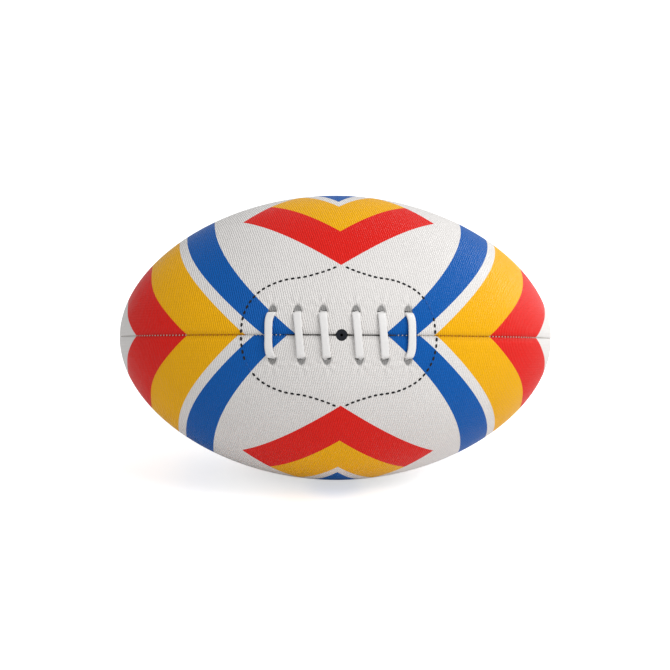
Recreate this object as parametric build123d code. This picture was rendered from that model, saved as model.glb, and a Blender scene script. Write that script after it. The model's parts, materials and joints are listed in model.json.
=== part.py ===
from build123d import *
import math
import os

# A size 5 rugby ball with four sewn panels, a lacing and an inflated bladder.
# X runs along its length and Z is up. The origin is at the ball's centre.
# Each piece is drawn with the lacing facing -Y, and export() then turns it to its place.
# "depth" is always a distance below the outer surface, and "angle" is counted in degrees
# round the X axis from the lacing, upwards.

# ---- Driving dimensions, in millimetres and degrees ----------------------------------
half_length = 144.0
girth_radius = 94.6
tip_handle = 0.506            # the outline's curve handles: at the ends, in girth radii,
girth_handle = 0.532          # and at mid-length, in half lengths
lacing_tilt = 18.0            # how far up from -Y the lacing faces
seam_gap = 0.3                # between the edges of neighbouring panels

skin_thickness = 1.2
lining_thickness = 1.2
patch_thickness = 0.8
lace_thickness = 1.8
tongue_thickness = 1.2
valve_patch_thickness = 0.8
bladder_thickness = 0.8
glue_line = 0.1               # between layers that are bonded
slack = 0.2                   # between layers that lie loose on each other

lace_width = 5.2
lace_rows = (-43.5, -26.6, -10.5, 10.1, 26.2, 42.2)   # where each outer strap crosses the seam
valve_row = 3                 # the first row on the far side of the valve
lace_reach = 14.7             # from the seam, round the girth, to where a strap turns inwards
lace_lean = 2.5               # how far the four middle straps lean along X
lace_bend = 1.5               # outer radius where a strap turns inwards
lace_tail = 12.0              # length of each end, tucked away from the seam
lace_run_sink = 0.29          # the straight run past the valve lies this much deeper
hole_width = 5.8
hole_point = 5.4              # from the strap to the hole's point, away from the seam
hole_shoulder = 0.3           # from the strap to where the hole starts to narrow
hole_heel = 0.5               # from the strap's inner face to the hole's straight end
hole_corner = 0.6
hole_tool_depths = (-2.0, 6.0)

slit_ends = (-35.3, 34.1)     # the seam is open between these, under the lacing
slit_width = 0.8
seam_thread_thickness = 0.2   # each seam's row of stitches is drawn as one thin strip
seam_thread_depths = (0.4, 2.4)
seam_end_margin = 3.0         # the stitches stop this far short of the ball's two ends

patch_thread_width = 0.95
patch_thread_layer = (-0.6, -0.25)
patch_margin = 3.0            # the lacing patches reach this far past their own stitching
# One quarter of the black stitching round the lacing, from the seam to its point
# at mid-length: distances along X and round the girth.
patch_curve = ((64.0, 0.0), (61.5, 15.0), (52.5, 27.5), (38.0, 35.0), (20.0, 38.5), (0.0, 46.5))
patch_curve_headings = ((0, 1), (-0.8, 0.55))   # at the curve's two ends
patch_edge_steps = 6

tongue_size = (116.0, 50.0)
tongue_corner = 16.0
recess_depth = 12.0           # how far the lacing presses the bladder in, at its middle
recess_radius = 211.0         # of the flat that this makes, along X

valve_clearance = 0.3
valve_head_radius = 3.6
valve_head_height = 1.2
valve_head_depth = 0.3
valve_tube_radius = 3.3
valve_tube_bore = 2.0
valve_tube_end = 28.0
valve_flange_radius = 11.0
valve_flange_thickness = 1.0
valve_patch_radius = 14.0
insert_radius = 1.9
insert_end = 24.0
needle_radius = 0.9
needle_depth = 21.0
air_hole_radius = 1.0
sealing_slit = (2.4, 0.2)
valve_head_round = 0.5
valve_bore_end = 25.0
tool_reach = 5.0              # how far a cutting tool goes past what it cuts


# ---- The layers, as (outer depth, inner depth) ---------------------------------------
def layer_below(depth, gap, thickness):
    """A layer that starts gap below the given depth."""
    return depth + gap, depth + gap + thickness


skin_layer = (0.0, skin_thickness)
lining_layer = layer_below(skin_layer[1], glue_line, lining_thickness)
patch_layer = layer_below(lining_layer[1], glue_line, patch_thickness)
lace_layer = layer_below(patch_layer[1], slack, lace_thickness)
tongue_layer = layer_below(lace_layer[1], slack + glue_line, tongue_thickness)
bladder_layer = layer_below(patch_layer[1], slack, bladder_thickness)
strap_layer = (-2 * slack - lace_thickness, -2 * slack)


# ---- The ball's surface --------------------------------------------------------------
def outline_handles(depth, bore=0.0):
    """The control points of the outline's right half, from the tip to mid-length."""
    length = half_length - depth
    radius = girth_radius - depth
    return ((length, bore), (length, tip_handle * radius), (girth_handle * length, radius),
            (0, radius))


def outline_point(place):
    """A point of the outer outline, at a place from 0 at the tip to 1 at mid-length."""
    rest = 1 - place
    weights = (rest ** 3, 3 * rest ** 2 * place, 3 * rest * place ** 2, place ** 3)
    handles = outline_handles(0.0)
    return [sum(w * handle[axis] for w, handle in zip(weights, handles)) for axis in (0, 1)]


def body_radius(x):
    """Radius of the outer surface at x."""
    halvings = 40
    low, high = 0.0, 1.0
    for _ in range(halvings):
        middle = (low + high) / 2
        if outline_point(middle)[0] > abs(x):
            low = middle
        else:
            high = middle
    return outline_point(low)[1]


def body_slope(x):
    """How fast the outer radius changes along X."""
    step = 0.01
    return (body_radius(x + step) - body_radius(x - step)) / (2 * step)


def outline_curves(depth, bore=0.0):
    """The ball's lengthwise outline at a depth below its surface, down to a radius of bore."""
    right = outline_handles(depth, bore)
    left = [(-x, r) for x, r in reversed(right)]
    return [Bezier(*right), Bezier(*left)]


def layer_section(layer, bore=0.0):
    """Half of a layer's lengthwise section."""
    outer = outline_curves(layer[0], bore)
    inner = outline_curves(layer[1], bore)
    ends = [Line(outer[0] @ 0, inner[0] @ 0), Line(outer[1] @ 1, inner[1] @ 1)]
    return make_face(outer + inner + ends)


def body_solid(depth):
    """The solid whose surface lies the given depth below the ball's outer surface."""
    curves = outline_curves(depth)
    return revolve(make_face(curves + [Line(curves[1] @ 1, curves[0] @ 0)]), Axis.X, 360)


def layer_piece(block, layer):
    """The part of a layer that lies inside a block."""
    return (block & body_solid(layer[0])) - body_solid(layer[1])


def surface_plane(x, angle, depth=0.0):
    """The plane that touches the ball there: its X runs along the ball, its Y round the girth."""
    turn = math.radians(angle)
    slope = body_slope(x)
    round_girth = Vector(0, math.sin(turn), math.cos(turn))
    outward = Vector(-slope, -math.cos(turn), math.sin(turn)).normalized()
    radius = body_radius(x)
    point = Vector(x, -radius * math.cos(turn), radius * math.sin(turn)) - outward * depth
    return Plane(origin=point, x_dir=round_girth.cross(outward), z_dir=outward)


def girth_angle(x, reach):
    """The angle of a point that lies the given distance round the girth from the lacing."""
    return math.degrees(reach / body_radius(x))


def front_block(outline):
    """A prism through the ball's front half, from an outline in X and Z."""
    return extrude(Plane.XZ * outline, girth_radius + tool_reach)


def front_cylinder(radius, outer_depth, inner_depth):
    """A cylinder on the valve's axis, between two depths."""
    top = girth_radius - outer_depth
    height = inner_depth - outer_depth
    return Pos(0, height / 2 - top, 0) * Rot(90, 0, 0) * Cylinder(radius, height)


# ---- Lacing --------------------------------------------------------------------------
def row_lean(row):
    """How far the strap of one row leans along X: the two outermost ones are straight."""
    if row in (0, len(lace_rows) - 1):
        return 0.0
    return lace_lean


def lace_corner(row, side):
    """X of the hole that a row's strap enters: side is 1 above the seam and -1 below it."""
    return lace_rows[row] - side * row_lean(row) / 2


def lace_plane(start_x, end_x):
    """The upright plane along a run of lace from below the seam to above it, and the run's
    distance from the plane's middle to where it turns."""
    middle = (start_x + end_x) / 2
    base = surface_plane(middle, 0)
    along = base.x_dir * (end_x - start_x) + base.y_dir * (2 * lace_reach)
    plane = Plane(origin=base.origin, x_dir=along, z_dir=along.cross(base.z_dir))
    return plane, along.length / 2


def run_radius(start_x, end_x):
    """Radius of the ball's surface along a run of lace that crosses the seam."""
    girth = body_radius((start_x + end_x) / 2) * math.hypot(1, body_slope((start_x + end_x) / 2))
    length_wise = half_length ** 2 / girth_radius
    lean = math.atan2(abs(end_x - start_x), 2 * lace_reach)
    return 1 / (math.cos(lean) ** 2 / girth + math.sin(lean) ** 2 / length_wise)


def arc_point(radius, surface, turn):
    """A point at an angle from the plane's Y axis, on a circle round the surface's centre."""
    return radius * math.sin(turn), radius * math.cos(turn) - surface


def lace_band(start_x, end_x, layer):
    """A flat strip of lace across the seam, bent to the ball."""
    plane, reach = lace_plane(start_x, end_x)
    surface = run_radius(start_x, end_x)
    turn = reach / surface
    outer = surface - layer[0]
    inner = surface - layer[1]
    outer_arc = ThreePointArc(*[arc_point(outer, surface, t) for t in (-turn, 0, turn)])
    inner_arc = ThreePointArc(*[arc_point(inner, surface, t) for t in (turn, 0, -turn)])
    face = make_face([outer_arc, Line(outer_arc @ 1, inner_arc @ 0), inner_arc,
                      Line(inner_arc @ 1, outer_arc @ 0)])
    return extrude(plane * face, lace_width / 2, both=True)


def lace_staple(row):
    """One outer strap with its two legs, which go in through the holes."""
    start_x = lace_corner(row, -1)
    end_x = lace_corner(row, 1)
    plane, reach = lace_plane(start_x, end_x)
    surface = run_radius(start_x, end_x)
    turn = reach / surface
    leg = lace_thickness / surface
    outer = surface - strap_layer[0]
    inner = surface - strap_layer[1]
    foot = surface - lace_layer[1]

    def at(radius, angle):
        return arc_point(radius, surface, angle)

    outer_arc = ThreePointArc(at(outer, -turn), at(outer, 0), at(outer, turn))
    inner_arc = ThreePointArc(at(inner, turn - leg), at(inner, 0), at(inner, leg - turn))
    face = make_face([
        outer_arc,
        Polyline(outer_arc @ 1, at(foot, turn), at(foot, turn - leg), inner_arc @ 0),
        inner_arc,
        Polyline(inner_arc @ 1, at(foot, leg - turn), at(foot, -turn), outer_arc @ 0),
    ])
    face = fillet(face.vertices().sort_by(Axis.Y)[-2:], lace_bend)
    return extrude(plane * face, lace_width / 2, both=True)


def lace_end(row):
    """One end of the lace, tucked between the patch and the tongue, away from the seam."""
    x = lace_corner(row, 1)
    reach = lace_reach + lace_tail / 2 - lace_thickness
    plane = surface_plane(x, girth_angle(x, reach), sum(lace_layer) / 2)
    return plane * Box(lace_width, lace_tail, lace_thickness)


def lace_run_past_valve():
    """The run below the seam that takes the lace past the valve, between the middle rows."""
    start_x = lace_corner(valve_row - 1, -1)
    end_x = lace_corner(valve_row, -1)
    middle = (start_x + end_x) / 2
    reach = lace_reach - lace_thickness / 2
    depth = sum(lace_layer) / 2 + lace_run_sink
    plane = surface_plane(middle, -girth_angle(middle, reach), depth)
    return plane * Box(end_x - start_x + lace_width, lace_width, lace_thickness)


def make_lace():
    """One strip of lace. It crosses the seam outside at each row, and under it in between,
    and it slants the other way on the far side of the valve."""
    lace = lace_staple(0)
    for row in range(1, len(lace_rows)):
        if row < valve_row:
            lace += lace_band(lace_corner(row - 1, -1), lace_corner(row, 1), lace_layer)
        elif row == valve_row:
            lace += lace_run_past_valve()
        else:
            lace += lace_band(lace_corner(row, -1), lace_corner(row - 1, 1), lace_layer)
        lace += lace_staple(row)
    return lace + lace_end(0) + lace_end(len(lace_rows) - 1)


def lace_holes(side):
    """The tools that cut one row of lace holes, each with its point away from the seam."""
    half = hole_width / 2
    heel = -lace_thickness - hole_heel
    outline = make_face(Polyline((-half, heel), (half, heel), (half, hole_shoulder),
                                 (0, hole_point), (-half, hole_shoulder), close=True))
    outline = fillet(outline.vertices(), hole_corner)
    if side < 0:
        outline = mirror(outline, Plane.XZ)
    tools = []
    for row in range(len(lace_rows)):
        x = lace_corner(row, side)
        plane = surface_plane(x, side * girth_angle(x, lace_reach), hole_tool_depths[1])
        tools.append(plane * extrude(outline, hole_tool_depths[1] - hole_tool_depths[0]))
    return tools


# ---- Cover panels and linings --------------------------------------------------------
panel_sides = {
    "upper_front": (-1, 1),
    "lower_front": (-1, -1),
    "upper_back": (1, 1),
    "lower_back": (1, -1),
}


def front_openings(side):
    """The tools that cut the slit, the valve's hole and the lace holes in a front panel."""
    slit_length = slit_ends[1] - slit_ends[0]
    slit_middle = (slit_ends[1] + slit_ends[0]) / 2
    slit = Pos(slit_middle, -girth_radius, 0) * Box(slit_length, 4 * tool_reach, slit_width)
    valve = front_cylinder(valve_head_radius + valve_clearance, -tool_reach,
                           lining_layer[1] + tool_reach)
    return [slit, valve] + lace_holes(side)


def cut_front_openings(piece, side):
    """Cuts the slit, the valve's hole and the lace holes."""
    return Part() + piece.cut(*front_openings(side)).solids().sort_by(SortBy.VOLUME)[-1]


def make_panel(layer, y_side, z_side):
    """One quarter of a layer, with the lacing's openings if it is at the front."""
    half_gap = seam_gap / 2
    panel = revolve(layer_section(layer, half_gap), Axis.X, 90)
    if y_side < 0:
        panel = mirror(panel, Plane.XZ)
    if z_side < 0:
        panel = mirror(panel, Plane.XY)
    panel = Pos(0, y_side * half_gap, z_side * half_gap) * panel
    if y_side < 0:
        panel = cut_front_openings(panel, z_side)
    return panel


# ---- Stitching and the patches behind the lace holes ---------------------------------
def make_seam_thread(angle, start_x, end_x):
    """One seam's row of stitches, as a strip in the gap between the panels' edges."""
    window = Pos((start_x + end_x) / 2, girth_radius / 2) * Rectangle(end_x - start_x, girth_radius)
    section = layer_section(seam_thread_depths) & window
    strip = extrude(section, seam_thread_thickness / 2, both=True)
    return Rot(180 - angle, 0, 0) * strip


def patch_edge(margin, end=1):
    """The line that lies a margin outside the patch stitching, on one end's side, in X and Z."""
    curve = Spline(*patch_curve, tangents=patch_curve_headings)
    points = []
    for i in range(patch_edge_steps + 1):
        place = i / patch_edge_steps
        heading = curve.tangent_at(place)
        point = curve.position_at(place) + Vector(heading.Y, -heading.X) * margin
        x = point.X if i < patch_edge_steps else 0.0
        points.append((end * x, body_radius(x) * math.sin(point.Y / body_radius(x))))
    return Spline(*points)


def patch_outline(margin):
    """The outline on the upper side of the seam, a margin outside the patch stitching."""
    right = patch_edge(margin)
    left = patch_edge(margin, end=-1)
    return make_face([right, left, Line(right @ 0, left @ 0)])


def make_patch_part(outline, layer, side):
    """A piece of one layer inside an outline, on one side of the lacing's seam."""
    if side < 0:
        outline = mirror(outline, Plane.XZ)
    size = girth_radius + tool_reach
    one_side = Pos(0, 0, side * (size + seam_gap) / 2) * Box(2 * half_length, 2 * size, size)
    return layer_piece(front_block(outline) & one_side, layer)


def make_patch_stitching(side):
    """The black stitching of one lacing patch, as one thread on the cover."""
    half = patch_thread_width / 2
    band = patch_outline(half) - patch_outline(-half)
    return make_patch_part(band, patch_thread_layer, side)


def make_patch(side):
    """The reinforcement behind the lace holes on one side of the seam."""
    patch = make_patch_part(patch_outline(patch_margin), patch_layer, side)
    return cut_front_openings(patch, side)


# ---- Tongue, bladder and valve -------------------------------------------------------
def make_tongue():
    outline = RectangleRounded(*tongue_size, tongue_corner)
    tongue = layer_piece(front_block(outline), tongue_layer)
    return tongue - front_cylinder(valve_tube_radius + valve_clearance, 0, recess_depth)


def recess_cylinder(rise):
    """The cylinder that the bladder's flat lies on, or one that stands out from it by rise."""
    middle = recess_radius + recess_depth - girth_radius
    return Pos(0, middle, 0) * Cylinder(recess_radius + rise, 3 * girth_radius)


def recess_disc(radius, outer_rise, inner_rise):
    """A disc round the valve that follows the bladder's flat."""
    disc = front_block(Circle(radius)) & recess_cylinder(outer_rise)
    return disc - recess_cylinder(inner_rise)


def make_bladder():
    """The closed bladder, with the flat that the lacing presses into it."""
    round_part = revolve(layer_section(bladder_layer), Axis.X, 360) & recess_cylinder(0)
    flat = (recess_cylinder(0) - recess_cylinder(-bladder_thickness)) & body_solid(bladder_layer[0])
    valve_hole = front_cylinder(valve_tube_radius + glue_line, 0, valve_tube_end)
    return round_part + flat - valve_hole


def make_valve_patch():
    outer_rise = glue_line + valve_patch_thickness
    disc = recess_disc(valve_patch_radius, outer_rise, glue_line)
    return disc - front_cylinder(valve_tube_radius + glue_line, 0, valve_tube_end)


def make_valve_body():
    """The rubber tube that is bonded into the bladder by its flange."""
    flange_rise = -bladder_thickness - glue_line
    flange = recess_disc(valve_flange_radius, flange_rise, flange_rise - valve_flange_thickness)
    top = valve_head_depth + valve_head_height + glue_line
    body = flange + front_cylinder(valve_tube_radius, top, valve_tube_end)
    body -= front_cylinder(valve_tube_bore, 0, valve_bore_end)
    return body - front_cylinder(air_hole_radius, 0, valve_tube_end + tool_reach)


def make_valve_insert():
    """The press-in core, with the needle's hole and the slit that seals behind the needle."""
    head_end = valve_head_depth + valve_head_height
    head = front_cylinder(valve_head_radius, valve_head_depth, head_end)
    outer_rim = head.edges().sort_by(Axis.Y)[0]
    insert = fillet(outer_rim, valve_head_round)
    insert += front_cylinder(insert_radius, head_end, insert_end)
    insert -= front_cylinder(needle_radius, 0, needle_depth)
    slit = Pos(0, (needle_depth + insert_end) / 2 - girth_radius, 0)
    slit *= Box(sealing_slit[0], insert_end - needle_depth + 2 * valve_clearance, sealing_slit[1])
    return insert - slit


# ---- Assembly ------------------------------------------------------------------------
def export(shape, name):
    """Turns a piece so that the lacing faces up by its tilt, and writes it."""
    export_step(Rot(-lacing_tilt, 0, 0) * shape, f"parts/{name}.step")


def main():
    os.makedirs("parts", exist_ok=True)
    for name, (y_side, z_side) in panel_sides.items():
        export(make_panel(skin_layer, y_side, z_side), f"cover_panel_{name}")
        export(make_panel(lining_layer, y_side, z_side), f"panel_lining_{name}")

    last_stitch = half_length - seam_end_margin
    export(make_seam_thread(0, -last_stitch, slit_ends[0]), "seam_thread_front_left")
    export(make_seam_thread(0, slit_ends[1], last_stitch), "seam_thread_front_right")
    for name, angle in (("top", 90), ("back", 180), ("bottom", 270)):
        export(make_seam_thread(angle, -last_stitch, last_stitch), f"seam_thread_{name}")

    for name, side in (("upper", 1), ("lower", -1)):
        export(make_patch(side), f"lacing_patch_{name}")
        export(make_patch_stitching(side), f"patch_stitching_{name}")
    export(make_lace(), "lace")
    export(make_tongue(), "lacing_tongue")
    export(make_bladder(), "bladder")
    export(make_valve_patch(), "bladder_valve_patch")
    export(make_valve_body(), "valve_body")
    export(make_valve_insert(), "valve_insert")


main()
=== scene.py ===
import json
import math

import bpy
import numpy as np
from mathutils import Matrix, Vector


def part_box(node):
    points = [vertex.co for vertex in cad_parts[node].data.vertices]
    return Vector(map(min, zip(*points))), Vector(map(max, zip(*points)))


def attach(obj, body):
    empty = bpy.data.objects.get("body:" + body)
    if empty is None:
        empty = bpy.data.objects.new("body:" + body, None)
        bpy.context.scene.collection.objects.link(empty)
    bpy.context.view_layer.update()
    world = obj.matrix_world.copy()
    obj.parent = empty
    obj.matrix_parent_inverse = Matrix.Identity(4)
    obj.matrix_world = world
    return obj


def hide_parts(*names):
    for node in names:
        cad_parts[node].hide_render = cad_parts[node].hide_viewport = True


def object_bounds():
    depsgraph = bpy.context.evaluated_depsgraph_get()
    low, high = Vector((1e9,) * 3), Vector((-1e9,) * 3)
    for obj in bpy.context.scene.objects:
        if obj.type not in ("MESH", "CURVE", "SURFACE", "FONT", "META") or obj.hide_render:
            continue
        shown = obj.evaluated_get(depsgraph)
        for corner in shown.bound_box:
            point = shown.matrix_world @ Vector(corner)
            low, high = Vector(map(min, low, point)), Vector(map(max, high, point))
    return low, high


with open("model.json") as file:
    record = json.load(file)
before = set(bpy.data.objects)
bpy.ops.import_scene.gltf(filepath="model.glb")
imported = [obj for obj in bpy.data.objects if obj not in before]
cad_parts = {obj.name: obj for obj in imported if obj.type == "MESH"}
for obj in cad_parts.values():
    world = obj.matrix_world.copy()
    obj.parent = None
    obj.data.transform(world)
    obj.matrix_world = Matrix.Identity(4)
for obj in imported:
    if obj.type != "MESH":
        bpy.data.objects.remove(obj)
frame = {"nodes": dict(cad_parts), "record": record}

# A sewn, laced rugby ball. Lengths here are in millimetres until a mesh is made.
# The ball is drawn with its lacing facing -Y and then turned up by the CAD model's tilt.
# "along" is the distance along the outline from mid-length, "around" is the distance round the
# girth from the nearest lengthwise seam at the front or back, and "height" stands out of the cover.

MM = 1000.0
cad_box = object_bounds()
nodes = frame["nodes"]
needle_port = next(m for m in frame["record"]["mounts"] if m["name"] == "needle_port")
tilt = math.atan2(needle_port["axis"][2], -needle_port["axis"][1])

# ---- Dimensions, in millimetres ------------------------------------------------------
panel_shift_down = 0.1        # the lower back CAD panel lies this much lower than the outline
half_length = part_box("cover_panel_upper_back")[1].x * MM
girth_radius = -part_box("cover_panel_lower_back")[0].z * MM - panel_shift_down
tip_handle = 0.506            # the outline's curve handles: at the ends, in girth radii,
girth_handle = 0.532          # and at mid-length, in half lengths
skin_thickness = 1.2
quarter_around = math.pi / 2 * girth_radius      # from one lengthwise seam to the next

seam_gap = 0.3
seam_edge_depth, seam_edge_round = 0.45, 1.5     # each panel's edge turns in by this much
seam_dip_depth, seam_dip_reach = 0.7, 2.8        # and the cover dips softly towards it,
seam_end_share, seam_end_fade = 0.3, 22.0        # less so near the ball's ends
flat_end_radius = 16.0        # the seams fade out where the ball is this thin

lace_rows = (-43.5, -26.6, -10.5, 10.1, 26.2, 42.2)
valve_row = 3                 # the first row on the far side of the valve
lace_reach = 14.7             # from the seam to the straps' outer faces
lace_lean = 2.5               # how far along the ball a strap leans from hole to hole
lace_width = 5.2
lace_thickness = 1.9
lace_bulge = 2.0              # how far the two outermost straps bow outwards
strap_bend, strap_clearance, strap_lift = 1.7, 0.35, 0.35   # the lift is at mid-strap
lace_leg_depth, lace_run_depth = 3.6, 4.5
lace_tail_start, lace_tail_end = 1.0, 11.0       # beyond the outermost straps' legs
lace_waist, lace_waist_reach = 0.05, 7.0         # a strap is this share narrower at its middle,
lace_wander, lace_wander_pitch = 0.02, 5.3       # and its width wanders a little

slit_ends = (-35.3, 34.1)
slit_half_width, slit_fade = 0.22, 1.5           # it closes over the fade at each end
notch_depth, notch_place, notch_reach = 0.4, 4.3, 1.3       # the slit is wider beside the valve
valve_radius = 3.6
valve_flat, valve_flat_reach = 0.8, 5.5          # and the seam's valley is shallower there
slit_push = 12.0              # the cover's mesh gives way to the slit this far round the girth
hole_half_width, hole_heel, hole_point, hole_roundness = 3.0, 1.7, 5.1, 1.75
hole_opening = -0.7           # the cover stops this far inside a hole's edge,
hole_closed_from = 0.4        # but closes the hole again this far beyond the strap
hole_dip, hole_dip_start, hole_dip_fade = 1.15, 0.5, 1.3    # how it dips towards the hole
hole_shade_start, hole_shade_fade = 0.25, 0.5      # and is painted grey inside it, as shade with the lining seen through it

fine_pitch, coarse_pitch = 0.53, 1.8             # spacing of the cover's mesh points
lacing_zone, lacing_height = 52.0, 24.0          # the fine points reach this far along and round

seam_stitch_pitch, seam_stitch_depth = 2.6, 0.95
seam_stitch_size = (0.5, 0.4, 0.42)              # half length, half width, half height
seam_stitch_slant = (0.35, 0.5)                  # along the seam and across it
seam_strip_depth = 1.4        # the panels' turned-in edges close the gap here
seam_strip_size = (0.45, 0.2)                    # half width, half height
seam_strip_pitch, seam_strip_points = 1.5, 10
patch_dash_start, patch_dash_pitch, patch_dash_length = 1.2, 4.0, 2.3
patch_dash_size = (1.25, 0.74, 0.45)             # half length, half width, half height
patch_dash_height = 0.15
patch_curve = ((64.0, 0.0), (61.5, 15.0), (52.5, 27.5), (38.0, 35.0), (20.0, 38.5), (0.0, 46.5))
patch_end_slopes = ((0.0, 15.0), (-20.0, 12.0))
# How the curve is stretched along X and round the girth in each quarter, as (end, side), and
# between which distances from the seam the print runs over the stitching there.
patch_stretch = {(1, 1): (0.93, 1.0), (-1, 1): (0.985, 1.0),
                 (1, -1): (0.945, 1.03), (-1, -1): (0.985, 1.04)}
printed_over = {(1, 1): (10.5, 24.0), (-1, -1): (16.5, 23.0)}

# ---- Print: where the bands and chevrons lie -----------------------------------------
# Each band edge leaves the seam at a slant and bends round to follow the girth. A row has its
# distance from mid-length at the seam, where it ends up, its first slope, and how much of the
# lower front panel's cut reaches it.
band_edges = ((27.5, 81, 1.2, 1.0), (48.5, 99, 1.2, 1.0), (60, 104, 1.1, 0.8), (97, 122, 1.0, 0.0),
              (131, 138, 0.6, 0.0))
print_off = 0.8               # how far the bands sit off to the left at the seam
print_turn = 20.0             # left goes over to right within this distance of mid-length
panel_cut = (5.0, 2.0)        # how far off its place the lower front panel is cut, left and right
# Each chevron edge starts at mid-length, this far round the girth, and rises this steeply.
chevron_edges = ((46.0, 0.70), (74.0, 0.85), (104.0, 1.25), (113.0, 1.70))
chevron_tip = (62.0, 89.7)    # where the outermost chevron ends
chevron_cut = 1.2             # slope of the line that cuts the chevrons' ends off
print_blend = 5.0             # the mesh's values change over this distance at each edge
# A ramp is kept as 255 equal entries, so 15 whole numbers of 17 entries each change exactly
# where they should.
ramp_numbers, ramp_entries = 15, 255

# ---- Colours -------------------------------------------------------------------------
white = (0.80, 0.77, 0.745)
blue = (0.004, 0.105, 0.42)
yellow = (0.91, 0.45, 0.003)
red = (0.775, 0.016, 0.011)
# Painted shade inside the lace holes, grey as the shaded lining seen through them.
hole_shade_grey = (0.42, 0.41, 0.40)
cream = (0.60, 0.54, 0.46)
rust = (0.42, 0.085, 0.010)
stitch_colours = (cream, cream, cream, rust, cream, cream)
band_colours = (white, blue, white, yellow, red, white)
chevron_colours = (white, red, yellow, white, blue)


# ---- The ball's surface --------------------------------------------------------------
def outline_table(samples=3000):
    """The outline's right half from mid-length to the tip: along, x, radius."""
    t = np.linspace(1, 0, samples)
    rest = 1 - t
    weights = np.array((rest ** 3, 3 * rest ** 2 * t, 3 * rest * t ** 2, t ** 3))
    handles = np.array(((half_length, 0), (half_length, tip_handle * girth_radius),
                        (girth_handle * half_length, girth_radius), (0, girth_radius)))
    points = weights.T @ handles
    steps = np.hypot(*np.diff(points, axis=0).T)
    return np.concatenate(([0], np.cumsum(steps))), points[:, 0], points[:, 1]


table_along, table_x, table_radius = outline_table()
tip_along = table_along[-1]


def x_of(along):
    return np.sign(along) * np.interp(np.abs(along), table_along, table_x)


def along_of(x):
    return np.sign(x) * np.interp(np.abs(x), table_x, table_along)


def radius_of(along):
    return np.interp(np.abs(along), table_along, table_radius)


def surface_point(along, angle, height=0.0):
    """Points on the ball, in millimetres, with the angle in radians upwards from the lacing."""
    step = 0.05
    low = np.clip(along - step, -tip_along, tip_along)
    high = np.clip(along + step, -tip_along, tip_along)
    run = x_of(high) - x_of(low)
    rise = radius_of(high) - radius_of(low)
    length = np.hypot(run, rise)
    x = x_of(along) - height * rise / length
    radius = radius_of(along) + height * run / length
    return np.stack((x, -radius * np.cos(angle), radius * np.sin(angle)), axis=-1)


def on_front(x, around, height=0.0):
    """A point on the front half, from X and the distance round the girth from the lacing."""
    along = along_of(np.asarray(x, float))
    return surface_point(along, np.asarray(around, float) / radius_of(along), height)


def smooth(value):
    value = np.clip(value, 0, 1)
    return value * value * (3 - 2 * value)


def tilted(points):
    """Points in the row frame, in metres, from points with the lacing facing -Y."""
    x, y, z = np.asarray(points, float).T / MM
    turned = (x, y * math.cos(tilt) + z * math.sin(tilt), z * math.cos(tilt) - y * math.sin(tilt))
    return np.stack(turned, axis=-1)


# ---- Making meshes -------------------------------------------------------------------
def make_piece(name, points, faces, materials, stands_for, values=(), sharp_angle=60):
    """A smooth-shaded mesh piece that stands for CAD nodes, with named values on its points."""
    mesh = bpy.data.meshes.new(name)
    mesh.from_pydata(tilted(points).tolist(), [], [[int(i) for i in face] for face in faces])
    mesh.polygons.foreach_set("use_smooth", [True] * len(mesh.polygons))
    mesh.set_sharp_from_angle(angle=math.radians(sharp_angle))
    for value_name, value in dict(values).items():
        attribute = mesh.attributes.new(value_name, "FLOAT", "POINT")
        attribute.data.foreach_set("value", np.asarray(value, np.float32).ravel())
    for material in materials:
        mesh.materials.append(material)
    piece = bpy.data.objects.new(name, mesh)
    bpy.context.scene.collection.objects.link(piece)
    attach(piece, "root")
    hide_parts(*stands_for)
    return piece


def grid_faces(rows, columns, closed=False):
    """Quads of a grid of points whose columns change fastest; closed joins its last column."""
    across = columns if closed else columns - 1
    row, column = np.meshgrid(np.arange(rows - 1), np.arange(across), indexing="ij")
    after = (column + 1) % columns
    corners = (row * columns + column, row * columns + after,
               (row + 1) * columns + after, (row + 1) * columns + column)
    return np.stack(corners, axis=-1).reshape(-1, 4)


def thicken(outer, inner, faces):
    """A closed shell from an outer surface, an inner one and their shared faces."""
    count = len(outer)
    starts = faces.ravel()
    ends = np.roll(faces, -1, axis=1).ravel()
    border = ~np.isin(starts * count + ends, ends * count + starts)
    starts, ends = starts[border], ends[border]
    walls = np.stack((ends, starts, starts + count, ends + count), axis=-1)
    return np.concatenate((outer, inner)), np.concatenate((faces, faces[:, ::-1] + count, walls))


def sweep(centres, sides, half_width, half_thickness, power=3.0, around=20):
    """A strip with a rounded section along a line of points, given the direction of its width."""
    centres, sides = np.asarray(centres), np.asarray(sides)
    heading = np.gradient(centres, axis=0)
    heading /= np.linalg.norm(heading, axis=1)[:, None]
    sides = sides - (sides * heading).sum(1)[:, None] * heading
    sides /= np.linalg.norm(sides, axis=1)[:, None]
    tops = np.cross(heading, sides)
    turn = np.arange(around) * 2 * np.pi / around
    wide = np.sign(np.cos(turn)) * np.abs(np.cos(turn)) ** (2 / power)
    thick = np.sign(np.sin(turn)) * np.abs(np.sin(turn)) ** (2 / power)
    half_width = np.broadcast_to(half_width, len(centres))
    half_thickness = np.broadcast_to(half_thickness, len(centres))
    points = (centres[:, None] + sides[:, None] * (half_width[:, None] * wide)[..., None]
              + tops[:, None] * (half_thickness[:, None] * thick)[..., None])
    faces = grid_faces(len(centres), around, closed=True).tolist()
    last = (len(centres) - 1) * around
    faces.append(list(range(around))[::-1])
    faces.append([last + i for i in range(around)])
    return points.reshape(-1, 3), faces


def joined(parts):
    """One list of points and faces from several."""
    points, faces, count = [], [], 0
    for part_points, part_faces in parts:
        points.append(part_points)
        faces += [[i + count for i in face] for face in part_faces]
        count += len(part_points)
    return np.concatenate(points), faces


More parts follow.
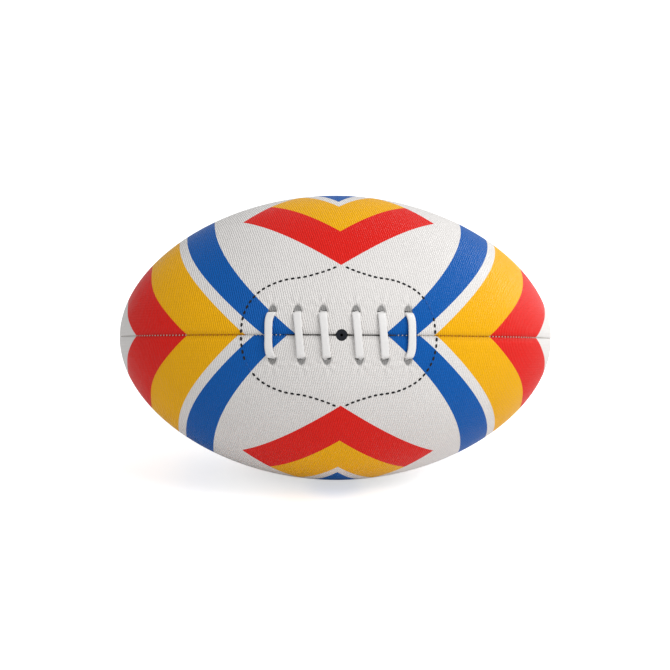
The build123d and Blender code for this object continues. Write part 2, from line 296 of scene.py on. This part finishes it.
# ---- Materials -----------------------------------------------------------------------
class Shader:
    """A Principled material that is built up node by node."""

    def __init__(self, name, roughness, **sockets):
        self.material = bpy.data.materials.new(name)
        self.material.use_nodes = True
        self.tree = self.material.node_tree
        self.surface = self.tree.nodes["Principled BSDF"]
        self.surface.inputs["Roughness"].default_value = roughness
        for socket, value in sockets.items():
            self.surface.inputs[socket.replace("_", " ")].default_value = value

    def add(self, kind, inputs, output=0, **settings):
        made = self.tree.nodes.new(kind)
        for setting, value in settings.items():
            setattr(made, setting, value)
        for key, value in inputs.items():
            self.feed(made.inputs[key], value)
        return made.outputs[output]

    def feed(self, socket, value):
        if isinstance(value, bpy.types.NodeSocket):
            self.tree.links.new(value, socket)
        else:
            socket.default_value = value

    def maths(self, operation, first, second=0.0, third=0.0):
        return self.add("ShaderNodeMath", {0: first, 1: second, 2: third}, operation=operation)

    def value(self, name):
        return self.add("ShaderNodeAttribute", {}, "Fac", attribute_name=name)

    def place(self):
        return self.add("ShaderNodeTexCoord", {}, "Object")

    def noise(self, scale, detail=3.0, vector=None, roughness=0.5):
        vector = vector or self.place()
        inputs = {"Vector": vector, "Scale": scale, "Detail": detail, "Roughness": roughness}
        return self.add("ShaderNodeTexNoise", inputs, "Fac")

    def mapped(self, value, low, high, to_low, to_high):
        inputs = {0: value, 1: low, 2: high, 3: to_low, 4: to_high}
        return self.add("ShaderNodeMapRange", inputs)

    def mix(self, factor, first, second, blend="MIX"):
        inputs = {0: factor, 6: colour(first), 7: colour(second)}
        return self.add("ShaderNodeMix", inputs, 2, data_type="RGBA", blend_type=blend)

    def steps(self, value, colours):
        """Flat colours that change at each whole number of the value."""
        ramp = self.tree.nodes.new("ShaderNodeValToRGB")
        ramp.color_ramp.interpolation = "CONSTANT"
        stops = ramp.color_ramp.elements
        while len(stops) < len(colours):
            stops.new(1.0)
        for i, rgb in enumerate(colours):
            stops[i].position = max(i / ramp_numbers - 0.5 / ramp_entries, 0)
            stops[i].color = (*rgb, 1)
        self.feed(ramp.inputs[0], self.maths("DIVIDE", value, ramp_numbers))
        return ramp.outputs[0]

    def shaded(self, rgb, factor):
        """A colour made lighter or darker by a factor."""
        grey = self.add("ShaderNodeCombineColor", {0: factor, 1: factor, 2: factor})
        return self.mix(1.0, rgb, grey, "MULTIPLY")

    def finish(self, rgb, height=None, depth=0.1, roughness=None):
        """Connects colour, a bump height with its depth in millimetres, and roughness."""
        self.feed(self.surface.inputs["Base Color"], rgb)
        if height is not None:
            inputs = {"Height": height, "Distance": depth / MM, "Strength": 1.0}
            self.feed(self.surface.inputs["Normal"], self.add("ShaderNodeBump", inputs))
        if roughness is not None:
            self.feed(self.surface.inputs["Roughness"], roughness)
        return self.material


def colour(value):
    return (*value, 1) if isinstance(value, tuple) and len(value) == 3 else value


def cover_material():
    """The printed cover: fine slanting ribs with a slight grain and painted shade in their grooves,
    painted shade where the cover sinks into the seams and holes, and painted grey inside the holes
    as shade with the lining seen through them.
    """
    s = Shader("printed_cover", 0.42, Specular_IOR_Level=0.1)
    along, around = s.value("along"), s.value("around")
    bands = s.steps(s.value("band"), band_colours)
    chevrons = s.steps(s.value("chevron"), chevron_colours)
    inside = s.maths("MULTIPLY", s.maths("GREATER_THAN", s.value("uncut"), 0.0),
                     s.maths("GREATER_THAN", s.value("chevron"), 1.0))
    printed = s.mix(inside, bands, chevrons)

    flat = s.add("ShaderNodeCombineXYZ", {0: along, 1: around, 2: s.value("panel")})
    rib_slant, rib_pitch, rib_wander = 0.22, 1.45, 0.9
    rib_place = s.maths("MULTIPLY_ADD", around, rib_slant, along)
    rib_place = s.maths("MULTIPLY_ADD", s.noise(0.35, 2.0, flat), rib_wander, rib_place)
    rib = s.maths("SINE", s.maths("MULTIPLY", rib_place, 2 * math.pi / rib_pitch))
    cross_pitch, cross_wander, cross_share, grain_share = 1.9, 1.6, 0.22, 1.3
    cross_place = s.maths("MULTIPLY_ADD", s.noise(0.8, 1.0, flat), cross_wander, around)
    cross = s.maths("SINE", s.maths("MULTIPLY", cross_place, 2 * math.pi / cross_pitch))
    grain = s.noise(1.1, 3.0, flat, 0.6)
    height = s.maths("MULTIPLY_ADD", cross, cross_share, rib)
    height = s.maths("MULTIPLY_ADD", grain, grain_share, height)
    # Painted shade in the ribs' grooves: darker where the bump is low.
    groove_shade = s.mapped(height, -0.9, 1.0, 0.84, 1.02)
    patchy = s.mapped(s.noise(18.0, 3.0), 0.3, 0.7, 0.975, 1.02)
    # Painted shade: darker where the cover sinks into the seams, the holes' dips and the creases.
    sunk_shade = s.mapped(s.value("sunk"), 0.25, 1.1, 1.0, 0.75)
    # Painted shade: grey inside the holes, as the shaded hole with the lining seen through it.
    printed = s.mix(s.value("in_hole"), printed, hole_shade_grey)
    factor = s.maths("MULTIPLY", s.maths("MULTIPLY", groove_shade, patchy), sunk_shade)
    roughness = s.mapped(s.noise(30.0, 4.0), 0.3, 0.7, 0.36, 0.47)
    return s.finish(s.shaded(printed, factor), height, 0.13, roughness)


def thread_material(name, rgb=None, twist=0.7, roughness=0.6):
    """Twisted thread: fine slanting strands with painted shade between them. Without a colour,
    it takes one from the print band that it lies in."""
    s = Shader(name, roughness, Sheen_Weight=0.1, Specular_IOR_Level=0.25)
    rgb = rgb or s.steps(s.value("band"), stitch_colours)
    inputs = {"Vector": s.place(), "Scale": MM / twist / 3, "Distortion": 1.0, "Detail": 2.0}
    strands = s.add("ShaderNodeTexWave", inputs, "Fac", bands_direction="DIAGONAL")
    # Painted shade between the twisted strands.
    tone = s.maths("MULTIPLY", s.mapped(strands, 0.0, 1.0, 0.72, 1.05),
                   s.mapped(s.noise(90.0), 0.3, 0.7, 0.9, 1.08))
    return s.finish(s.shaded(rgb, tone), strands, 0.06)


def seam_edge_material():
    """The cover's turned-in edge, deep in the seam: the print's colour with painted shade and a random
    grain.
    """
    s = Shader("seam_edge", 0.6, Specular_IOR_Level=0.1)
    grain = s.noise(900.0, 3.0)
    rgb = s.steps(s.value("band"), band_colours)
    # Painted shade: the print's colour darkened to between 0.55 and 0.75.
    return s.finish(s.shaded(rgb, s.mapped(grain, 0.3, 0.7, 0.55, 0.75)), grain, 0.05)


def lace_material():
    """A smooth coated strip with a faint lengthwise grain, painted shade along its rounded sides
    and painted shade where it runs under the cover.
    """
    s = Shader("lace_strip", 0.42, Specular_IOR_Level=0.45, Coat_Weight=0.05, Sheen_Weight=0.05)
    flat = s.add("ShaderNodeCombineXYZ", {0: s.maths("MULTIPLY", s.value("run"), 0.25),
                                          1: s.maths("MULTIPLY", s.value("edge"), 6.0), 2: 0.0})
    grain = s.noise(1.2, 3.0, flat)
    # Painted shade along the strip's rounded sides.
    edge = s.mapped(s.maths("ABSOLUTE", s.value("edge")), 0.75, 1.0, 1.0, 0.93)
    tone = s.maths("MULTIPLY", s.mapped(grain, 0.3, 0.7, 0.96, 1.02), edge)
    # Painted shade where the lace runs below the cover's surface.
    under_cover_shade = s.mapped(s.value("depth"), 0.0, 2.5, 1.0, 0.55)
    rgb = s.shaded((0.80, 0.78, 0.765), s.maths("MULTIPLY", tone, under_cover_shade))
    return s.finish(rgb, grain, 0.05, s.mapped(grain, 0.3, 0.7, 0.36, 0.5))


def weave_material(name, rgb, pitch, roughness=0.8):
    """Plain woven cloth, in which each thread passes over and under the next."""
    s = Shader(name, roughness, Sheen_Weight=0.15)
    split = s.tree.nodes.new("ShaderNodeSeparateXYZ")
    s.feed(split.inputs[0], s.place())
    waves = [s.maths("SINE", s.maths("MULTIPLY", split.outputs[i], math.pi * MM / pitch))
             for i in range(3)]
    weave = s.maths("MULTIPLY", waves[0], s.maths("ADD", waves[1], waves[2]))
    # Painted shade where each thread dips under the next.
    tone = s.maths("MULTIPLY", s.mapped(weave, -1.0, 1.0, 0.78, 1.04),
                   s.mapped(s.noise(60.0, 4.0), 0.3, 0.7, 0.9, 1.05))
    return s.finish(s.shaded(rgb, tone), weave, 0.15)


def rubber_material(name, rgb, roughness=0.45, grain_scale=700.0):
    """Moulded rubber with a fine grain that is lighter on its high spots, and uneven gloss."""
    s = Shader(name, roughness, Specular_IOR_Level=0.25)
    grain = s.noise(grain_scale, 4.0, roughness=0.6)
    tone = s.maths("MULTIPLY", s.mapped(grain, 0.3, 0.7, 0.85, 1.1),
                   s.mapped(s.noise(45.0, 3.0), 0.3, 0.7, 0.85, 1.15))
    gloss = s.mapped(s.noise(120.0, 3.0), 0.3, 0.7, roughness - 0.08, roughness + 0.12)
    return s.finish(s.shaded(rgb, tone), grain, 0.06, gloss)


# ---- Print values --------------------------------------------------------------------
def print_values(along, angle, cut_off):
    """The values that the cover's material turns into bands and chevrons. The last is 1 for the
    panel that is cut off its place in the print, and 0 for the others."""
    x = x_of(along)
    right = smooth((x + print_turn) / (2 * print_turn))
    around = angle * radius_of(along)
    edges = []
    cut = cut_off * (panel_cut[0] * (1 - right) + panel_cut[1] * right)
    for middle_tip, end, slope, cut_share in band_edges:
        tip = middle_tip + print_off * (1 - 2 * right)
        off = cut * cut_share
        reach = 3 * (end - tip) / slope      # how far round the girth the edge keeps bending
        share = np.clip((angle * radius_of(along_of(tip)) + off) / reach, 0, 1)
        edges.append(tip + (end - tip) * (1 - (1 - share) ** 3))
    band = levels_passed(np.abs(x), edges)
    chevron = levels_passed(around, [start + slope * np.abs(x) for start, slope in chevron_edges])
    uncut = chevron_tip[1] + chevron_cut * (chevron_tip[0] - np.abs(x)) - around
    return {"band": band, "chevron": chevron, "uncut": uncut}


def levels_passed(value, levels):
    """A half, and one more for each level passed. It rises evenly over a few millimetres across
    each level, so that whole numbers fall on straight lines between the mesh's points."""
    return 0.5 + sum(np.clip((value - level) / print_blend + 0.5, 0, 1) for level in levels)


# ---- Cover panels --------------------------------------------------------------------
def lace_corner(row, side):
    """X of the hole that a row's strap enters: side is 1 above the seam and -1 below it."""
    lean = 0.0 if row in (0, len(lace_rows) - 1) else lace_lean
    return lace_rows[row] - side * lean / 2


def hole_distance(x, around, side):
    """Distance outside the nearest lace hole's edge, negative inside it."""
    nearest = np.full_like(x, np.inf)
    out = around - lace_reach
    reach = np.where(out > 0, out / hole_point, -out / hole_heel)
    for row in range(len(lace_rows)):
        across = np.abs(x - lace_corner(row, side)) / hole_half_width
        share = (across ** hole_roundness + reach ** hole_roundness) ** (1 / hole_roundness)
        nearest = np.minimum(nearest, (share - 1) * hole_half_width)
    return nearest


def puckers(x, around, side):
    """Small creases that fan out from the holes' points, where the lace pulls."""
    creases, crease_height, turn_per_hole = 6, 0.28, 1.3
    fan_middle, start, start_fade, strongest, reach = 3.5, 2.5, 2.0, 4.0, 3.2
    height = np.zeros_like(x)
    for row in range(len(lace_rows)):
        dx = x - lace_corner(row, side)
        dy = around - lace_reach - fan_middle
        distance = np.hypot(dx, dy)
        fan = np.cos(creases * np.arctan2(dy, dx) + turn_per_hole * row)
        fade = smooth((distance - start) / start_fade) * np.exp(-((distance - strongest) / reach) ** 2)
        height += crease_height * fan * fade
    return height


def graded(*stretches):
    """Positions along a line, from (start, end, pitch) stretches that follow each other."""
    parts = [np.linspace(a, b, max(2, round((b - a) / pitch) + 1))[:-1] for a, b, pitch in stretches]
    return np.concatenate(parts + [[stretches[-1][1]]])


def panel_grid(front):
    """A panel's mesh points before they are moved, as around and along. The points are closer
    beside the seams and, at the front, round the lacing."""
    along_pitch = 1.45 if front else 1.4
    near_zone, near_pitch, far_pitch = (2.7, 0.3, 0.4) if front else (3.0, 0.35, 0.35)
    end, far = tip_along - 0.05, quarter_around - 3.0
    if front:
        columns = graded((-end, -lacing_zone, along_pitch), (-lacing_zone, 0, fine_pitch),
                         (0, lacing_zone, fine_pitch), (lacing_zone, end, along_pitch))
        between = ((near_zone, lacing_height, fine_pitch), (lacing_height, far, coarse_pitch))
    else:
        columns = graded((-end, 0, along_pitch), (0, end, along_pitch))
        between = ((near_zone, far, coarse_pitch),)
    rows = graded((0, near_zone, near_pitch), *between, (far, quarter_around, far_pitch))
    return np.meshgrid(rows, columns, indexing="ij")


def slit_edge(x):
    """How far the cover's edge stands back from the seam: at the slit, and round the valve."""
    left = smooth((x - slit_ends[0]) / slit_fade + 0.5)
    right = smooth((slit_ends[1] - x) / slit_fade + 0.5)
    notch = notch_depth * np.exp(-((np.abs(x) - notch_place) / notch_reach) ** 2)
    ring = np.sqrt(np.maximum(valve_radius ** 2 - x ** 2, 0))
    return np.maximum((slit_half_width + notch) * left * right, ring)


def seam_valley(along, near):
    """How deep the cover lies beside a seam, from the distance round the girth to it."""
    curve = np.clip(1 - near / seam_edge_round, 0, 1)
    flatter = smooth((half_length - np.abs(x_of(along))) / seam_end_fade)
    share = seam_end_share + (1 - seam_end_share) * flatter
    dip = seam_dip_depth * share * np.exp(-(near / seam_dip_reach) ** 2)
    return seam_edge_depth * (1 - np.sqrt(1 - curve ** 2)) + dip


def make_panel(name, y_side, z_side, material):
    """One quarter of the cover: rounded seam edges, and the lacing's openings at the front."""
    front = y_side < 0
    around0, along = panel_grid(front)
    angle = around0 / girth_radius
    keep_valley = np.ones_like(along)
    if front:
        x = x_of(along)
        pushed = slit_edge(x) * np.clip(1 - around0 / slit_push, 0, 1)
        angle = angle + pushed / radius_of(along)
        keep_valley = 1 - valve_flat * np.exp(-(x / valve_flat_reach) ** 2)
        for _ in range(2):
            angle, along = snap_to_holes(along, angle, z_side)

    near = np.minimum(around0, quarter_around - around0) * radius_of(along) / girth_radius
    sunk = seam_valley(along, near) * keep_valley * smooth(radius_of(along) / flat_end_radius)
    in_hole = np.zeros_like(along)
    faces = grid_faces(*along.shape)
    around = angle * radius_of(along)
    if front:
        away = hole_distance(x_of(along), around, z_side)
        sunk = np.maximum(sunk, hole_dip * smooth((hole_dip_start - away) / hole_dip_fade))
        sunk -= puckers(x_of(along), around, z_side)
        # Painted shade: how much of the cover is painted grey inside a hole.
        in_hole = smooth((-hole_shade_start - away) / hole_shade_fade)
        solid = (away > hole_opening) | (around > lace_reach + hole_closed_from)
        faces = faces[solid.ravel()[faces].mean(1) > 0.5]
    thinnest = 0.1
    inside = np.minimum(-skin_thickness, -sunk - thinnest)
    outer = quarter_points(along, angle, -sunk, y_side, z_side)
    inner = quarter_points(along, angle, inside, y_side, z_side)
    points, faces = thicken(outer, inner, faces)
    if y_side * z_side > 0:
        faces = faces[:, ::-1]

    values = print_values(along, angle, 1.0 if front and z_side < 0 else 0.0)
    grain_place = 40.0 * (y_side + 2 * z_side)   # so that no two panels have the same grain
    values.update(along=along, around=around, sunk=sunk, in_hole=in_hole,
                  panel=np.full_like(along, grain_place))
    used, used_faces = np.unique(faces, return_inverse=True)
    both_sides = {key: np.tile(value.ravel(), 2)[used] for key, value in values.items()}
    return make_piece(f"printed_{name}", points[used], used_faces.reshape(faces.shape), [material],
                      [name], both_sides)


def snap_to_holes(along, angle, side):
    """Moves the points nearest to the holes' edges onto them, so that the edges come out clean."""
    step, snap_reach = 0.02, 0.55 * fine_pitch
    x = x_of(along)
    around = angle * radius_of(along)
    here = hole_distance(x, around, side) - hole_opening
    slope_x = (hole_distance(x + step, around, side) - hole_opening - here) / step
    slope_around = (hole_distance(x, around + step, side) - hole_opening - here) / step
    size = np.maximum(slope_x ** 2 + slope_around ** 2, 1e-6)
    move = np.where(np.abs(here) < snap_reach, -here, 0.0) / size
    return angle + move * slope_around / radius_of(along), along + move * slope_x


def quarter_points(along, angle, height, y_side, z_side):
    """Points of one quarter, moved outwards by half of the gap at its seams."""
    points = surface_point(along, angle, height).reshape(-1, 3)
    points[:, 1] *= -y_side
    points[:, 2] *= z_side
    return points + np.array((0, y_side, z_side)) * seam_gap / 2


# ---- Stitching -----------------------------------------------------------------------
def capsule(centre, heading, up, half_reach, half_width, half_height, rings=7, around=10):
    """A short rounded length of thread."""
    heading = heading / np.linalg.norm(heading)
    side = np.cross(up, heading)
    side /= np.linalg.norm(side)
    blunt = 0.12
    turn = np.linspace(blunt, np.pi - blunt, rings)
    centres = centre - np.outer(np.cos(turn) * half_reach, heading)
    swell = np.sin(turn) ** 0.6
    sides = np.tile(side, (rings, 1))
    return sweep(centres, sides, half_width * swell, half_height * swell, 2.0, around)


def seam_stitch(place, angle):
    """One slanting stitch at a place along a seam."""
    heights = np.array((-seam_stitch_depth, 0.0))
    middle, above = surface_point(np.full(2, place), np.full(2, angle), heights)
    along_slant, around_slant = seam_stitch_slant
    ahead = surface_point(place + along_slant, angle + around_slant / radius_of(place),
                          -seam_stitch_depth)
    return capsule(middle, ahead - middle, above - middle, *seam_stitch_size)


def seam_strip(places, angle):
    """The panels' turned-in edges, as a strip that closes the gap below the stitches."""
    line = surface_point(places, np.full(len(places), angle), np.full(len(places), -seam_strip_depth))
    side = np.array((0.0, math.sin(angle), math.cos(angle)))
    return sweep(line, np.tile(side, (len(line), 1)), *seam_strip_size, 2.0, seam_strip_points)


def make_seam_stitches(name, angle, first, last, materials):
    """A seam's row of small stitches across the gap between the panels' edges, with the strip
    below them. Both take their colours from the print at the seam's own place."""
    first, last = along_of(first), along_of(last)
    stitch_places = np.arange(first + 1.0, last - 1.0, seam_stitch_pitch)
    strip_places = np.linspace(first, last, round((last - first) / seam_strip_pitch))
    stitches = [seam_stitch(place, angle) for place in stitch_places]
    points, faces = joined(stitches + [seam_strip(strip_places, angle)])
    along = np.concatenate((np.repeat(stitch_places, len(stitches[0][0])),
                            np.repeat(strip_places, seam_strip_points)))
    from_lacing = np.full_like(along, math.asin(abs(math.sin(angle))))
    values = {"band": print_values(along, from_lacing, 0.0)["band"]}
    piece = make_piece(f"stitches_{name}", points, faces, materials, [name], values)
    stitch_faces = len(stitches) * len(stitches[0][1])
    indexes = [0] * stitch_faces + [1] * (len(faces) - stitch_faces)
    piece.data.polygons.foreach_set("material_index", indexes)
    return piece


def patch_line(samples=600):
    """The patch stitching's right quarter as x, around and the distance along it."""
    knots = np.array(patch_curve)
    slopes = np.gradient(knots, axis=0)
    slopes[0], slopes[-1] = patch_end_slopes
    t = np.linspace(0, len(knots) - 1 - 1e-6, samples)
    i = t.astype(int)
    f = (t - i)[:, None]
    points = ((2 * f ** 3 - 3 * f ** 2 + 1) * knots[i] + (f ** 3 - 2 * f ** 2 + f) * slopes[i]
              + (3 * f ** 2 - 2 * f ** 3) * knots[i + 1] + (f ** 3 - f ** 2) * slopes[i + 1])
    reach = np.concatenate(([0], np.cumsum(np.hypot(*np.diff(points, axis=0).T))))
    return points[:, 0], points[:, 1], reach


def dash_material(x, around, printed):
    """Which thread a dash is made of: 0 for black, or 1 for blue and 2 for white where the
    print runs over it."""
    low, high = printed
    if not low < around < high:
        return 0
    along = along_of(x)
    angle = around / radius_of(along)
    band = print_values(np.array([along]), np.array([angle]), 0.0)["band"][0]
    return 1 if 1 < band < 2 else 2


def make_patch_stitches(name, side, materials):
    """Black dashes round the lacing. Where the print runs over them, on one diagonal, they have
    the print's colour."""
    line_x, line_around, reach = patch_line()
    parts, face_materials = [], []
    for end in (1, -1):
        stretch_x, stretch_around = patch_stretch[end, side]
        printed = printed_over.get((end, side), (0, 0))
        for start in np.arange(patch_dash_start, reach[-1] - patch_dash_pitch, patch_dash_pitch):
            ends = (start, start + patch_dash_length)
            x = end * np.interp(ends, reach, line_x) * stretch_x
            around = side * np.interp(ends, reach, line_around) * stretch_around
            tips = on_front(x, around, patch_dash_height)
            middle = on_front(x.mean(), around.mean(), patch_dash_height)
            up = on_front(x.mean(), around.mean(), 1.0) - middle
            part = capsule(middle, tips[1] - tips[0], up, *patch_dash_size)
            parts.append(part)
            face_materials += [dash_material(x.mean(), abs(around.mean()), printed)] * len(part[1])
    points, faces = joined(parts)
    piece = make_piece(f"dashes_{name}", points, faces, materials, [name])
    piece.data.polygons.foreach_set("material_index", face_materials)
    return piece


# ---- Lace ----------------------------------------------------------------------------
def strap_route(row, downwards):
    """One strap over the seam, with its two legs: x, around, height and how far it bows."""
    low, high = lace_corner(row, -1), lace_corner(row, 1)
    reach = lace_reach - lace_thickness / 2
    top = strap_clearance + lace_thickness / 2
    turn = np.linspace(0, math.pi / 2, 7)
    arc_around = reach - strap_bend + strap_bend * np.cos(turn)
    arc_height = top - strap_bend + strap_bend * np.sin(turn)
    leg_height = np.linspace(-lace_leg_depth, top - strap_bend - 0.6, 5)
    leg_around = np.full(len(leg_height), reach)
    straight = np.linspace(reach - strap_bend, strap_bend - reach, 23)[1:-1]
    around = np.concatenate((leg_around, arc_around, straight, -arc_around[::-1], -leg_around))
    lift = strap_lift * (1 - (straight / (reach - strap_bend)) ** 2)
    height = np.concatenate((leg_height, arc_height, top + lift, arc_height[::-1], leg_height[::-1]))
    share = (around / reach + 1) / 2
    outermost = {0: -1.0, len(lace_rows) - 1: 1.0}.get(row, 0.0)
    bow = outermost * lace_bulge * (1 - np.abs(around / reach) ** 5)
    route = np.stack((low * (1 - share) + high * share, around, height, bow), axis=-1)
    return route if downwards else route[::-1]


def under_route(start, end):
    """A run under the cover between two holes, given as (x, around)."""
    share = np.linspace(0, 1, 9)[1:-1, None]
    flat = np.array(start) * (1 - share) + np.array(end) * share
    depth = np.full((len(flat), 1), -lace_run_depth)
    return np.concatenate((flat, depth, np.zeros((len(flat), 1))), axis=1)


def lace_route():
    """The whole lace from one tucked end to the other."""
    reach = lace_reach - lace_thickness / 2
    last = len(lace_rows) - 1
    first_x, last_x = lace_corner(0, 1), lace_corner(last, 1)
    tail = (reach + lace_tail_start, reach + lace_tail_end)
    parts = [under_route((first_x, tail[1]), (first_x, tail[0])), strap_route(0, True)]
    for row in range(1, last + 1):
        before_side = -1 if row <= valve_row else 1
        this_side = 1 if row < valve_row else -1
        parts.append(under_route((lace_corner(row - 1, before_side), before_side * reach),
                                 (lace_corner(row, this_side), this_side * reach)))
        parts.append(strap_route(row, row < valve_row))
    parts.append(under_route((last_x, tail[0]), (last_x, tail[1])))
    return np.concatenate(parts)


def evened(line):
    """Each inner point of a line moved towards the points beside it."""
    return (line[:-2] + 2 * line[1:-1] + line[2:]) / 4


def make_lace(material):
    """The flat lace as one continuous strip."""
    route = lace_route()
    over_cover, evening = 0.2, 0.4               # the straps over the cover are evened less
    for _ in range(2):
        even = evened(route)
        strap = route[1:-1] * (1 - evening) + even * evening
        route[1:-1] = np.where(route[1:-1, 2:3] > over_cover, strap, even)
    bowed = route[:, 0] + route[:, 3]
    centres = on_front(bowed, route[:, 1], route[:, 2])
    outwards = on_front(bowed, route[:, 1], route[:, 2] + 1.0) - centres
    heading = np.gradient(route[:, :2], axis=0)
    for _ in range(6):
        heading[1:-1] = evened(heading)
    heading /= np.maximum(np.linalg.norm(heading, axis=1), 1e-6)[:, None]
    ahead = on_front(bowed + heading[:, 0], route[:, 1] + heading[:, 1], route[:, 2]) - centres
    sides = np.cross(ahead, outwards)
    run = np.concatenate(([0], np.cumsum(np.linalg.norm(np.diff(centres, axis=0), axis=1))))
    waist = 1 - lace_waist * np.exp(-(route[:, 1] / lace_waist_reach) ** 2)
    half_width = lace_width / 2 * (waist + lace_wander * np.sin(run / lace_wander_pitch))
    around, squareness = 28, 3.4
    points, faces = sweep(centres, sides, half_width, lace_thickness / 2, squareness, around)
    turn = np.arange(around) * 2 * np.pi / around
    values = {"run": np.repeat(run, around), "edge": np.tile(np.cos(turn), len(route)),
              "depth": np.repeat(np.maximum(-route[:, 2], 0), around)}
    return make_piece("flat_lace", points, faces, [material], ["lace"], values)


# ---- Studio --------------------------------------------------------------------------
def make_floor(half_size=8.0, glow=0.58):
    """Plain pale paper under the ball, with a glow that only the camera sees."""
    mesh = bpy.data.meshes.new("floor")
    signs = ((-1, -1), (1, -1), (1, 1), (-1, 1))
    corners = [(x * half_size, y * half_size, cad_box[0].z) for x, y in signs]
    mesh.from_pydata(corners, [], [(0, 1, 2, 3)])
    paper = Shader("floor_paper", 0.9, Specular_IOR_Level=0.05, Emission_Color=(1, 1, 1, 1))
    seen = paper.add("ShaderNodeLightPath", {})
    paper.feed(paper.surface.inputs["Emission Strength"], paper.maths("MULTIPLY", seen, glow))
    tone = paper.mapped(paper.noise(3.0, 2.0), 0.3, 0.7, 0.985, 1.0)
    mesh.materials.append(paper.finish(paper.shaded((0.9, 0.9, 0.9), tone)))
    floor = bpy.data.objects.new("floor", mesh)
    bpy.context.scene.collection.objects.link(floor)


def make_sky(rgb=(0.97, 0.985, 1.0), strength=0.58):
    """Soft light from all round."""
    world = bpy.data.worlds.new("studio")
    world.use_nodes = True
    background = world.node_tree.nodes["Background"]
    background.inputs["Color"].default_value = (*rgb, 1)
    background.inputs["Strength"].default_value = strength
    bpy.context.scene.world = world


def add_light(name, direction, distance, size, energy):
    """A soft round light that faces the ball's middle."""
    lamp = bpy.data.lights.new(name, "AREA")
    lamp.shape = "DISK"
    lamp.size = size
    lamp.energy = energy
    light = bpy.data.objects.new(name, lamp)
    away = Vector(direction).normalized()
    light.location = away * distance
    light.rotation_euler = away.to_track_quat("Z", "Y").to_euler()
    bpy.context.scene.collection.objects.link(light)


def add_camera():
    """The camera looks almost square onto the lacing, from a little to the left."""
    distance, yaw = 1.5, math.radians(2.3)
    elevation = tilt - math.radians(1.1)
    roll = math.radians(0.95)
    back = Vector((-math.sin(yaw) * math.cos(elevation), -math.cos(yaw) * math.cos(elevation),
                   math.sin(elevation)))
    data = bpy.data.cameras.new("camera")
    data.sensor_width = 36.0
    data.lens = 120.6
    data.shift_x = -0.0013
    data.shift_y = 0.0042
    camera = bpy.data.objects.new("camera", data)
    turn = back.to_track_quat("Z", "Y").to_matrix().to_4x4() @ Matrix.Rotation(roll, 4, "Z")
    camera.matrix_world = Matrix.Translation(back * distance) @ turn
    bpy.context.scene.collection.objects.link(camera)
    bpy.context.scene.camera = camera


def finish_cad_nodes():
    """Materials for the CAD nodes that are shown as they are."""
    lining = weave_material("lining_cloth", (0.46, 0.43, 0.38), 1.1)
    canvas = weave_material("patch_canvas", (0.40, 0.38, 0.35), 0.8)
    tongue = rubber_material("tongue_rubber", (0.30, 0.29, 0.28), 0.6, 500.0)
    bladder = rubber_material("bladder_rubber", (0.035, 0.035, 0.04), 0.4, 300.0)
    valve = rubber_material("valve_rubber", (0.007, 0.009, 0.015), 0.55, 900.0)
    chosen = {"panel_lining": lining, "lacing_patch": canvas, "lacing_tongue": tongue,
              "bladder": bladder, "valve": valve}
    for name, node in nodes.items():
        for start, material in chosen.items():
            if name.startswith(start):
                node.data.materials.clear()
                node.data.materials.append(material)


def main():
    cover = cover_material()
    sides = {"upper_front": (-1, 1), "lower_front": (-1, -1),
             "upper_back": (1, 1), "lower_back": (1, -1)}
    for name, (y_side, z_side) in sides.items():
        make_panel(f"cover_panel_{name}", y_side, z_side, cover)

    seam = [thread_material("seam_cotton"), seam_edge_material()]
    last = half_length - 1.0
    make_seam_stitches("seam_thread_front_left", 0.0, -last, slit_ends[0] - 1.0, seam)
    make_seam_stitches("seam_thread_front_right", 0.0, slit_ends[1] + 1.0, last, seam)
    for name, turns in (("top", 1), ("back", 2), ("bottom", 3)):
        make_seam_stitches(f"seam_thread_{name}", turns * math.pi / 2, -last, last, seam)

    threads = [thread_material("patch_thread_black", (0.007, 0.007, 0.009)),
               thread_material("patch_thread_blue", blue), thread_material("patch_thread_white", white)]
    for name, side in (("upper", 1), ("lower", -1)):
        make_patch_stitches(f"patch_stitching_{name}", side, threads)
    make_lace(lace_material())
    finish_cad_nodes()

    bpy.context.scene.view_settings.view_transform = "Standard"
    make_sky()
    make_floor()
    add_light("key_light", (0.62, -0.50, 0.85), 2.2, 1.3, 26.5)
    add_light("side_light", (0.75, 0.55, 0.28), 1.8, 1.2, 11.0)
    add_camera()


main()
